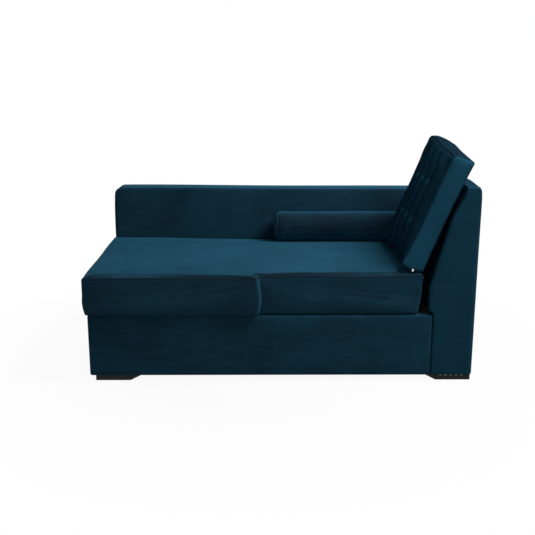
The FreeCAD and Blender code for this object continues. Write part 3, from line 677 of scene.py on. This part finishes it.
class SOFA_OT_base_panels(bpy.types.Operator):
    """Near side and foot-end panels of the base, and the cloth over the rear deck, near-black as painted
    shade.
    """

    bl_idname = "sofa.base_panels"
    bl_label = "Base panels"

    def execute(self, context):
        near = self.faced("near_side_upholstery", "near_side_cover", 1, context.scene.sofa_sizes)
        dress(near, FINISH["velvet_base"], "base", ["near_side_cover"])
        foot = self.faced("foot_panel_upholstery", "foot_panel_cover", 0, context.scene.sofa_sizes)
        dress(foot, FINISH["velvet_base"], "seat", ["foot_panel_cover"])
        self.deck_shade_sheet()
        return {"FINISHED"}

    def faced(self, name, node, axis, sizes):
        """Padded panel with a flat inner side: the block runs past it and is pressed flat there."""
        low, high = node_box(node)
        inner = high[axis] - 0.0005
        high[axis] += sizes.panel_edge
        heights = np.zeros(3)
        heights[axis] = sizes.panel_swell

        def flat_inside(points):
            """Nothing passes the inner side."""
            out = points.copy()
            out[:, axis] = np.minimum(out[:, axis], inner)
            return out

        return panel(name, low, high, sizes.panel_edge, heights, [flat_inside])

    def deck_shade_sheet(self):
        """Thin near-black cloth over the deck's slats, with a wider strip over the head-end bearer; its
        colour is painted shade for the gap behind the seat's end.
        """
        low, high = node_box("deck_slats")
        bearer_low, bearer_high = node_box("head_deck_bearer")
        under = high[2] + CLOTH_GAP
        over = under + CLOTH_THICKNESS
        strip = bearer_low[0] - CLOTH_STRIP
        blocks = (
            ((low[0] + 0.004, low[1] + 0.004, under), (strip, high[1] - 0.004, over)),
            ((strip, bearer_low[1] + 0.002, under), (bearer_high[0] + 0.008, bearer_high[1] - 0.002, over)),
        )
        cloth = new_piece("deck_shade_sheet", *joined_blocks(blocks, 0.0006, 0.012))
        dress(cloth, FINISH["lining"], "base", [])


class SOFA_OT_arm(bpy.types.Operator):
    """Low arm: a padded slab with a rounded foot-end corner, its head end cut to the back's slope."""

    bl_idname = "sofa.arm"
    bl_label = "Arm"

    def execute(self, context):
        sizes = context.scene.sofa_sizes
        run = ARM_HIGH[0] - BASE_HIGH[0]
        slope = run / (ARM_HIGH[2] - SLOPE_START)

        def corner(points):
            """Rounds the foot end's top corner."""
            place = (ARM_LOW[0], ARM_HIGH[2])
            return round_corner(points, (0, 2), place, (-1.0, 1.0), sizes.arm_corner, sizes.arm_edge)

        def head_end(points):
            """The head end draws in below the slope: x moves by the slope's shortfall near that end."""
            shortfall = np.minimum((ARM_HIGH[2] - points[:, 2]) * slope, run)
            return moved(points, 0, -shortfall * smooth(points[:, 0] / ARM_HIGH[0]))

        def foot_rise(points):
            """The padding thickens towards the foot end: height grows by a smooth step of x."""
            fuller = smooth((0.1 - points[:, 0]) / 0.8) * smooth((points[:, 2] - 0.45) / 0.2)
            return moved(points, 2, sizes.arm_rise * fuller)

        shapers = [corner, head_end, foot_rise]
        heights = (ARM_END_CROWN, sizes.panel_swell, ARM_TOP_CROWN)
        arm = panel("arm_upholstery", ARM_LOW, ARM_HIGH, sizes.arm_edge, heights, shapers, ARM_STEP)
        dress(arm, FINISH["velvet"], "base", ["arm_cover"])
        return {"FINISHED"}


class SOFA_OT_back(bpy.types.Operator):
    """Back block: padded slab with rounded rear edges, a crowned top and a sloping front."""

    bl_idname = "sofa.back"
    bl_label = "Back block"

    def execute(self, context):
        sizes = context.scene.sofa_sizes
        depth = BACK_HIGH[0] - BACK_LOW[0]
        lean = (depth - BACK_TOP) / (BACK_HIGH[2] - SLOPE_START)

        def rear_edges(points):
            """Rounds the top rear edge, then both upright rear edges."""
            rear, top, edge = BACK_HIGH[0], BACK_HIGH[2], sizes.back_edge
            points = round_corner(points, (0, 2), (rear, top), (1.0, 1.0), sizes.back_shoulder, edge)
            for side, way in ((BACK_LOW[1], -1.0), (BACK_HIGH[1], 1.0)):
                points = round_corner(points, (0, 1), (rear, side), (1.0, way), sizes.back_corner, edge)
            return points

        def top_crown(points):
            """The top falls towards both ends: height drops by a smooth step of the distance to the end."""
            end = np.minimum(points[:, 1] - BACK_LOW[1], BACK_HIGH[1] - points[:, 1])
            drop = sizes.back_crown * (1.0 - smooth(end / 0.16)) * smooth((points[:, 2] - 0.5) / 0.28)
            return moved(points, 2, -drop)

        def sloping_front(points):
            """Above the slope's start the front moves back with height, and the rear stays."""
            front = np.maximum(points[:, 2] - SLOPE_START, 0.0) * lean
            share = unit((BACK_HIGH[0] - points[:, 0]) / depth)
            return moved(points, 0, front * share)

        def near_roll(points):
            """Fuller edge beside the cushion: the front moves forward by smooth steps of width and height."""
            x, y, z = points.T
            share = unit((BACK_HIGH[0] - x) / depth) ** 2
            wide = smooth((BACK_LOW[1] + ROLL_WIDTH - y) / 0.020)
            tall = smooth((z - BASE_HIGH[2] - 0.005) / 0.012) * smooth((BACK_HIGH[2] - 0.02 - z) / 0.12)
            return moved(points, 0, -sizes.back_roll * share * wide * tall)

        shapers = [rear_edges, near_roll, sloping_front, top_crown]
        heights = (0.0, BACK_END_CROWN, 0.0)
        back = panel("back_upholstery", BACK_LOW, BACK_HIGH, sizes.back_edge, heights, shapers, BACK_STEP)
        dress(back, FINISH["velvet_back"], "base", ["back_cover"])
        self.hem_staples()
        return {"FINISHED"}

    def hem_staples(self):
        """Row of staple crowns along the near face's lower hem, each a small bar."""
        corners = []
        for i in range(STAPLE_COUNT):
            low = BACK_LOW + np.array([0.035 + STAPLE_PITCH * i, -0.0034, 0.0012 + 0.0012 * (i % 2)])
            corners.append((low, low + STAPLE))
        piece = new_piece("hem_staples", *joined_blocks(corners, 0.0004, 0.004))
        dress(piece, FINISH["steel"], "base", [])


class SOFA_OT_seat(bpy.types.Operator):
    """Seat pad: one L-shaped cushion with a raked head end, filled out as cloth."""

    bl_idname = "sofa.seat"
    bl_label = "Seat pad"

    def execute(self, context):
        sizes = context.scene.sofa_sizes
        slack = 0.2 * sizes.seat_swell
        low = SEAT_LOW + slack
        high = SEAT_HIGH - slack
        low[2] = SEAT_LOW[2]
        step = sizes.step_x - slack
        seat = new_piece("seat_upholstery", *self.shaped(sizes, low, high, step))

        def held(rest):
            """The underside stays, and the step's corner half gives."""
            by_step = bell((rest[:, 0] - step) / 0.02) * (rest[:, 1] < low[1] + 0.04)
            return np.where(rest[:, 2] < low[2] + 0.012, 1.0, by_step)

        swelled(seat, None, sizes.seat_swell, held)
        points = read_points(seat.data)
        top = smooth((points[:, 2] - low[2] - 0.03) / 0.1)
        points[:, 2] += ripple(points, 0.55, 0.0012) * top
        points[:, 1] += ripple(points, 0.35, 0.0008) * top
        write_points(seat.data, points)
        # Painted shade where the normal turns between up and front along the near top edge.
        _, across, up = read_points(seat.data, "normal").T
        painted_roll_shade = smooth((up - 0.15) / 0.2) * smooth((0.985 - up) / 0.06) * smooth((0.3 - across) / 0.2)
        paint_shade_on_points(seat, SEAT_ROLL_SHADE * painted_roll_shade)
        dress(seat, FINISH["velvet"], "seat", ["seat_cover", "seat_foam", "seat_edge_pad"])
        return {"FINISHED"}

    def shaped(self, sizes, low, high, step):
        """Crowned block with a step in its near side, a quarter circle and then a straight fall inwards.

        Smooth steps of its length and width then rake the head end, let the near edge droop, raise the
        arm's side at the foot end and tuck the foot end under; the step bows out by a sine of the height.
        """
        corner = sizes.step_round
        quarter = step - corner + corner * np.sin(np.linspace(0, math.pi / 2, 7))
        close = np.concatenate([quarter, step + STEP_FALL])
        points, faces = rounded_block(low, high, sizes.seat_edge, SEAT_NET, sizes.seat_under, close)
        points = crowned(points, low, high, SEAT_CROWN, 4)
        x, y, z = points.T
        along = unit((x - (step - corner)) / corner)
        inward = corner * (1.0 - np.sqrt(1.0 - along**2))
        fall = BASE_LOW[1] - SEAT_LOW[1] - corner
        inward += fall * unit((x - step) / STEP_FALL[-1])
        near = 1.0 - smooth((y - low[1] - 0.06) / 0.25)
        y += inward * near
        below = (high[2] - z) / (high[2] - low[2])
        x -= SEAT_RAKE * below * smooth((x - 0.35) / 0.2)
        z -= sizes.seat_droop * smooth((low[1] + 0.14 - y) / 0.14) * (1.0 - below)
        by_step = bell((x - step) / 0.05) * near
        x += STEP_BOW * by_step * (np.sin(math.pi * unit(below) ** 1.3) - 0.4)
        foot = 1.0 - smooth((x - low[0]) / 0.75)
        arm_side = smooth((y + 0.15) / 0.4)
        z += sizes.seat_rise * foot * arm_side * (1.0 - below)
        tuck = unit((below - 0.45) / 0.55) ** 2
        tuck *= INNER_TUCK + (1.0 - INNER_TUCK) * smooth((BASE_LOW[1] + 0.008 - y) / 0.02)
        x += sizes.foot_tuck * tuck * (1.0 - smooth((x - low[0]) / 0.15))
        return points, faces


def leaned(points, lean):
    """Cushion's own (thickness, width, height) turned about the width by the lean and set in place."""
    w, u, v = points.T
    c, s = math.cos(lean), math.sin(lean)
    return np.stack([w * c + v * s, u, v * c - w * s], axis=1) + CUSHION_FOOT


def upright(points, lean):
    """Back from the frame to the cushion's own axes."""
    x, u, z = (points - CUSHION_FOOT).T
    c, s = math.cos(lean), math.sin(lean)
    return np.stack([x * c - z * s, u, x * s + z * c], axis=1)


def tuft_pull(u, v):
    """1 at a button, falling off as a bell curve about it."""
    pull = np.zeros_like(u)
    for column in TUFT_COLUMNS:
        for row in TUFT_ROWS:
            away = (u - column) ** 2 + (v - row) ** 2
            pull = np.maximum(pull, np.exp(-away / (2 * TUFT_WIDTH**2)))
    return pull


def channel_pull(u, v, width):
    """1 along the creases up and down through each column of buttons, deepest by the buttons."""
    across = np.zeros_like(u)
    for column in TUFT_COLUMNS:
        sway = column + CREASE_SWAY * np.sin(v * 23.0 + 40.0 * column)
        across = np.maximum(across, np.exp(-np.abs(u - sway) / width))
    along = np.full_like(v, 0.5)
    for row in TUFT_ROWS:
        along = along + 0.5 * bell((v - row) / 0.06)
    ends = smooth(v / 0.05) * smooth((CUSHION_SIZE[2] - 0.025 - v) / 0.07)
    return across * np.minimum(along, 1.0) * ends


def fold_pull(u, v):
    """Short folds that fan down from the top seam: a wave across, fading over the upper third."""
    wave = np.sin(u * 46.0 + 1.2 * np.sin(u * 17.0))
    return wave * smooth((v - 0.34) / 0.06) * smooth((CUSHION_SIZE[2] - 0.02 - v) / 0.05)


def cushion_form(points):
    """Boxed cushion in its own axes, with its upper corners rounded.

    Powers of the height and width shares draw the sides in between the corners, raise the top towards
    the arm, spread the foot of the face and fill out the top at the rear.
    """
    thick, half, top = CUSHION_SIZE[0], CUSHION_SIZE[1] / 2, CUSHION_SIZE[2]
    points = round_corner(points, (0, 2), (-thick / 2, top), (-1.0, 1.0), 0.020, CUSHION_EDGE)
    points = round_corner(points, (1, 2), (half, top), (1.0, 1.0), 0.018, CUSHION_EDGE)
    points = round_corner(points, (1, 2), (-half, top), (-1.0, 1.0), 0.012, CUSHION_EDGE)
    w, u, v = points.T
    s = u / half
    h = v / top
    belly = 1.0 - unit(np.abs(s)) ** 2.5
    waist = 1.0 - unit(np.abs(2 * h - 1)) ** 2.5
    front = unit(0.5 - w / thick)
    across = 1.0 - unit(np.abs(2 * w / thick)) ** 2
    rise = 0.022 + 0.021 * s - 0.002 * s**2
    lower = unit(1.0 - h) ** 6
    upper = unit(h) ** 8
    by_arm = bell((s - 0.50) / 0.40)
    out = points.copy()
    out[:, 0] += (0.006 * belly - 0.016 * (1.0 - belly)) * front * lower
    out[:, 0] += 0.010 * (1.0 - front) * unit(h) ** 3
    out[:, 1] = u * (1.0 - 0.018 * waist)
    out[:, 2] += rise * unit(h)
    out[:, 2] += lower * (0.008 * belly * front - 0.010 * across)
    out[:, 2] += upper * (0.006 * across + 0.006 * by_arm)
    return out


class SOFA_OT_back_cushion(bpy.types.Operator):
    """Loose back cushion: boxed, crowned, drawn in by two rows of buttons and the creases through them."""

    bl_idname = "sofa.back_cushion"
    bl_label = "Back cushion"

    def execute(self, context):
        sizes = context.scene.sofa_sizes
        lean = sizes.cushion_lean
        half = CUSHION_SIZE[0] / 2
        cushion = self.tufted(sizes)

        def held(rest):
            """Buttons, creases, boxing seams and the lower side stay."""
            w, u, v = upright(rest, lean).T
            drawn = np.maximum(tuft_pull(u, v), 0.8 * channel_pull(u, v, CREASE_WIDTH))
            hold = np.where(w < 0, drawn, 0.0)
            seam = bell((np.abs(w) - half) / 0.006)
            return np.where(v < 0.004, 1.0, np.maximum(hold, 0.8 * seam))

        swelled(cushion, CUSHION_NET, sizes.cushion_swell, held)
        points = upright(read_points(cushion.data), lean)
        w, u, v = points.T
        face = w < FACE_BEHIND
        points[:, 0] += np.where(face, 0.005 * channel_pull(u, v, 0.0035), 0.0)
        write_points(cushion.data, leaned(points, lean))
        # Painted shade on the up-facing top; along each crease a painted highlight on one side, painted shade
        # on the other.
        along = np.array([math.sin(lean), 0.0, math.cos(lean)])
        painted_shade = 0.8 * smooth((read_points(cushion.data, "normal") @ along - 0.25) / 0.4)
        painted_crease_light = 0.70 * channel_pull(u - 0.008, v, 0.005) - 0.40 * channel_pull(u + 0.006, v, 0.006)
        paint_shade_on_points(cushion, painted_shade - np.where(face, painted_crease_light, 0.0))
        dress(cushion, FINISH["velvet_cushion"], "back_cushion", ["cushion_cover", "cushion_foam"])
        self.seam("cushion_front_seam", -1.0, lean)
        self.seam("cushion_rear_seam", 1.0, lean)
        self.zip_pull(lean)
        return {"FINISHED"}

    def tufted(self, sizes):
        """Cushion before it fills out: a hill over the face, less creases and folds, down to the buttons."""
        size = CUSHION_SIZE
        half = size[0] / 2
        low = np.array([-half, -size[1] / 2, 0.0]) + 0.0015
        high = np.array([half, size[1] / 2, size[2]]) - 0.0015
        block, faces = rounded_block(low, high, CUSHION_EDGE, CUSHION_NET)
        points = cushion_form(block)
        w, u, v = block.T
        front = unit(-w / half) ** 4
        rear = unit(w / half) ** 4
        hill = 1.0 - unit(np.abs(u / (size[1] / 2))) ** 3
        hill *= 1.0 - unit(np.abs(2 * v / size[2] - 1.0)) ** 3
        face = half + sizes.cushion_crown * hill
        face -= sizes.channel_depth * channel_pull(u, v, CREASE_WIDTH) + FOLD_DEPTH * fold_pull(u, v)
        pull = tuft_pull(u, v)
        face = face * (1.0 - pull) + np.minimum(face, BUTTON_SEAT) * pull
        points[:, 0] += rear * REAR_CROWN * hill - front * (face - half)
        return new_piece("back_cushion_upholstery", leaned(points, sizes.cushion_lean), faces)

    def zip_pull(self, lean):
        """Small bright slider at the foot of the near end: a rounded block with a tab."""
        u = -CUSHION_SIZE[1] / 2
        blocks = (
            ((-0.0050, u - 0.0024, -0.007), (0.0010, u + 0.0020, -0.001)),
            ((-0.0042, u - 0.0036, -0.011), (0.0002, u - 0.0022, -0.003)),
        )
        points, faces = joined_blocks(blocks, 0.0006, 0.003)
        piece = new_piece("zip_pull", leaned(points, lean), faces)
        nodes = ["cushion_zip_slider", "cushion_zip_tape"]
        dress(piece, FINISH["zip_metal"], "back_cushion", nodes)

    def seam(self, name, side, lean):
        """Sewn cord round one face of the boxing: a tube along its edge."""
        half = CUSHION_SIZE[1] / 2 - 0.0030
        low, top = 0.0028, CUSHION_SIZE[2] - 0.0028
        along = np.linspace(0.0, 1.0, 60, endpoint=False)
        still = np.ones_like(along)
        across = half * (2.0 * along - 1.0)
        climb = (top - low) * along
        u = np.concatenate([across, half * still, -across, -half * still])
        v = np.concatenate([low * still, low + climb, top * still, top - climb])
        w = np.full_like(u, side * (CUSHION_SIZE[0] / 2 - 0.0034))
        path = leaned(cushion_form(np.stack([w, u, v], axis=1)), lean)
        points, faces = tube(path, (math.cos(lean), 0.0, -math.sin(lean)), CORD_RADIUS)
        dress(new_piece(name, points, faces), FINISH["seam"], "back_cushion", [])


def roll_net(low, high):
    """Stuffed roll along X: rings over one end's disc and round rim, along the body and over the other end.

    The radius waves finely round the rims, where the cloth puckers, and slowly along the body, where it
    is slack. The underside is cut level where the roll lies.
    """
    radius = (high[2] - low[2]) / 2
    centre = (low + high) / 2
    length = high[0] - low[0]
    end = BOLSTER_END
    turn = np.linspace(0.0, 2 * math.pi, 121)[:-1]
    bend = np.linspace(0.0, math.pi / 2, 10)
    disc = np.linspace(0.03, 1.0, 12)[:-1] * (radius - end)
    reach = np.concatenate([disc, radius - end + end * np.sin(bend)])
    place = np.concatenate([np.zeros_like(disc), end * (1.0 - np.cos(bend))])
    body = np.linspace(end, length - end, 60)[1:-1]
    reach = np.concatenate([reach, np.full_like(body, radius), reach[::-1]])
    place = np.concatenate([place, body, (length - place)[::-1]])
    r, a = np.meshgrid(reach, turn, indexing="ij")
    x = np.broadcast_to(place[:, None], r.shape)
    from_rim = np.minimum(x, length - x) - end
    pucker = PUCKER_DEPTH * np.cos(PUCKER_COUNT * a) * np.exp(-(from_rim**2) / (2 * 0.012**2))
    slack = SLACK_DEPTH * np.sin(2 * a + 7 * x / length) * np.sin(math.pi * x / length)
    r = r + pucker + slack
    y = centre[1] + r * np.cos(a)
    z = np.maximum(centre[2] + r * np.sin(a), low[2] + 0.0015)
    points = np.stack([low[0] + x, y, z], axis=-1).reshape(-1, 3)
    rows, columns = r.shape
    ring = np.arange(columns)
    i, j = np.meshgrid(np.arange(rows - 1), ring, indexing="ij")
    first, second = i * columns, (i + 1) * columns
    k = (j + 1) % columns
    quads = np.stack([second + j, second + k, first + k, first + j], axis=-1).reshape(-1, 4)
    ends = [ring.tolist(), (ring[::-1] + (rows - 1) * columns).tolist()]
    return points, quads.tolist() + ends


class SOFA_OT_bolster(bpy.types.Operator):
    """Loose bolster: a stuffed roll with puckered ends, a little flat where it lies."""

    bl_idname = "sofa.bolster"
    bl_label = "Bolster"

    def execute(self, context):
        sizes = context.scene.sofa_sizes
        low, high = node_box("bolster_cover")
        low, high = low + 0.002, high - 0.002
        bolster = new_piece("bolster_upholstery", *roll_net(low, high))

        def held(rest):
            """The underside stays."""
            return np.where(rest[:, 2] < low[2] + 0.006, 1.0, 0.0)

        swelled(bolster, BOLSTER_NET, sizes.bolster_swell, held)
        dress(bolster, FINISH["velvet_bolster"], "bolster", ["bolster_cover", "bolster_foam"])
        self.rim_seam("bolster_foot_seam", low[0] + 0.35 * BOLSTER_END, low, high)
        self.rim_seam("bolster_head_seam", high[0] - 0.35 * BOLSTER_END, low, high)
        return {"FINISHED"}

    def rim_seam(self, name, x, low, high):
        """Sewn cord round an end's rim: a tube along a circle about the roll."""
        centre = (low + high) / 2
        reach = (high[2] - low[2]) / 2 - BOLSTER_END + BOLSTER_END * math.sqrt(1.0 - 0.65**2) + 0.0015
        spin = np.linspace(0.0, 2 * math.pi, 97)[:-1]
        ring = [np.full_like(spin, x), centre[1] + reach * np.cos(spin), centre[2] + reach * np.sin(spin)]
        points, faces = tube(np.stack(ring, axis=1), (1.0, 0.0, 0.0), CORD_RADIUS)
        dress(new_piece(name, points, faces), FINISH["seam"], "bolster", [])


# Stage
class SOFA_OT_stage(bpy.types.Operator):
    """Pale floor, soft studio light and the camera."""

    bl_idname = "sofa.stage"
    bl_label = "Stage"

    def execute(self, context):
        scene = context.scene
        scene.view_settings.view_transform = "Standard"
        floor_material(scene.sofa_colours.floor_white)
        lay_floor()
        light_world(scene)
        for lamp in LAMPS:
            soft_lamp(*lamp)
        set_camera(scene)
        return {"FINISHED"}


def camera_ray(tree):
    """1 where the camera, a mirror or glass looks straight at the surface."""
    path = add_node(tree, "LightPath")
    seen = maths(tree, "MAXIMUM", path.outputs["Is Camera Ray"], path.outputs["Is Glossy Ray"])
    return maths(tree, "MAXIMUM", seen, path.outputs["Is Transmission Ray"])


def floor_material(colour):
    """White to the camera, a little shaded close to the sofa; a duller grey in what it throws back."""
    material, tree, shader = blank_material("studio_floor")
    seen = camera_ray(tree)
    two_tone(tree, shader, seen, [FLOOR_DULL * c for c in colour], colour)
    dial(tree, shader, Roughness=0.9)
    glow = add_node(tree, "Emission")
    reach = add_node(tree, "VectorMath")
    reach.operation = "LENGTH"
    feed(tree, reach.inputs[0], here(tree))
    away = spread(tree, reach.outputs["Value"], 0.7, 1.6)
    share = maths(tree, "MULTIPLY_ADD", away, 1.0 - FLOOR_GLOW, FLOOR_GLOW)
    mix = add_node(tree, "MixShader", Fac=maths(tree, "MULTIPLY", share, seen))
    feed(tree, mix.inputs[1], shader.outputs["BSDF"])
    feed(tree, mix.inputs[2], glow.outputs["Emission"])
    dial(tree, tree.nodes["Material Output"], Surface=mix.outputs["Shader"])
    FINISH["floor"] = material


def lay_floor():
    """Flat square floor round the sofa."""
    corners = FLOOR_REACH * np.array([[-1, -1, 0], [1, -1, 0], [1, 1, 0], [-1, 1, 0]])
    floor = new_piece("studio_floor", corners, [[0, 1, 2, 3]])
    floor.data.materials.append(FINISH["floor"])


def light_world(scene):
    """Soft grey light all round, seen as white."""
    world = bpy.data.worlds.new("studio")
    world.use_nodes = True
    scene.world = world
    tree = world.node_tree
    strength = add_node(tree, "MapRange", Value=camera_ray(tree), To_Min=WORLD_LIGHT, To_Max=1.0)
    white = (1.0, 1.0, 1.0, 1.0)
    dial(tree, tree.nodes["Background"], Color=white, Strength=strength.outputs["Result"])


def soft_lamp(name, place, aim, size, power):
    """Square area lamp that looks at its aim."""
    data = bpy.data.lights.new(name, "AREA")
    data.size = size
    data.energy = power
    lamp = new_object(name, data)
    lamp.location = place
    way = np.array(aim) - np.array(place)
    reach = math.hypot(way[0], way[1])
    lamp.rotation_euler = (math.atan2(reach, -way[2]), 0.0, math.atan2(way[1], way[0]) - math.pi / 2)


def set_camera(scene):
    """Camera solved from the photo's straight edges."""
    data = bpy.data.cameras.new("photo_camera")
    data.lens = FOCAL_PIXELS / IMAGE_PIXELS * data.sensor_width
    camera = new_object("photo_camera", data)
    camera.location = CAMERA_PLACE
    camera.rotation_euler = (math.pi / 2 - CAMERA_PITCH, 0.0, -CAMERA_YAW)
    scene.camera = camera


STEPS = (
    SOFA_OT_finishes,
    SOFA_OT_base_panels,
    SOFA_OT_arm,
    SOFA_OT_back,
    SOFA_OT_seat,
    SOFA_OT_back_cushion,
    SOFA_OT_bolster,
    SOFA_OT_stage,
)


class SOFA_PT_dress(bpy.types.Panel):
    """Sidebar panel with the sizes, colours and steps."""

    bl_idname = "SOFA_PT_dress"
    bl_label = "Pull-out sofa bed"
    bl_space_type = "VIEW_3D"
    bl_region_type = "UI"
    bl_category = "Sofa"

    def draw(self, context):
        for group in (context.scene.sofa_sizes, context.scene.sofa_colours):
            for name in group.bl_rna.properties.keys():
                if name not in {"rna_type", "name"}:
                    self.layout.prop(group, name)
        for step in STEPS:
            self.layout.operator(step.bl_idname)


CLASSES = (SofaSizes, SofaColours, *STEPS, SOFA_PT_dress)


def register():
    """Registers the classes and hangs both property groups on the scene."""
    for kind in CLASSES:
        bpy.utils.register_class(kind)
    bpy.types.Scene.sofa_sizes = bpy.props.PointerProperty(type=SofaSizes)
    bpy.types.Scene.sofa_colours = bpy.props.PointerProperty(type=SofaColours)


def unregister():
    """Takes back what register() did."""
    del bpy.types.Scene.sofa_sizes
    del bpy.types.Scene.sofa_colours
    for kind in reversed(CLASSES):
        bpy.utils.unregister_class(kind)


def main():
    """Runs every step."""
    register()
    for step in STEPS:
        family, name = step.bl_idname.split(".")
        getattr(getattr(bpy.ops, family), name)()


if __name__ == "__main__":
    main()
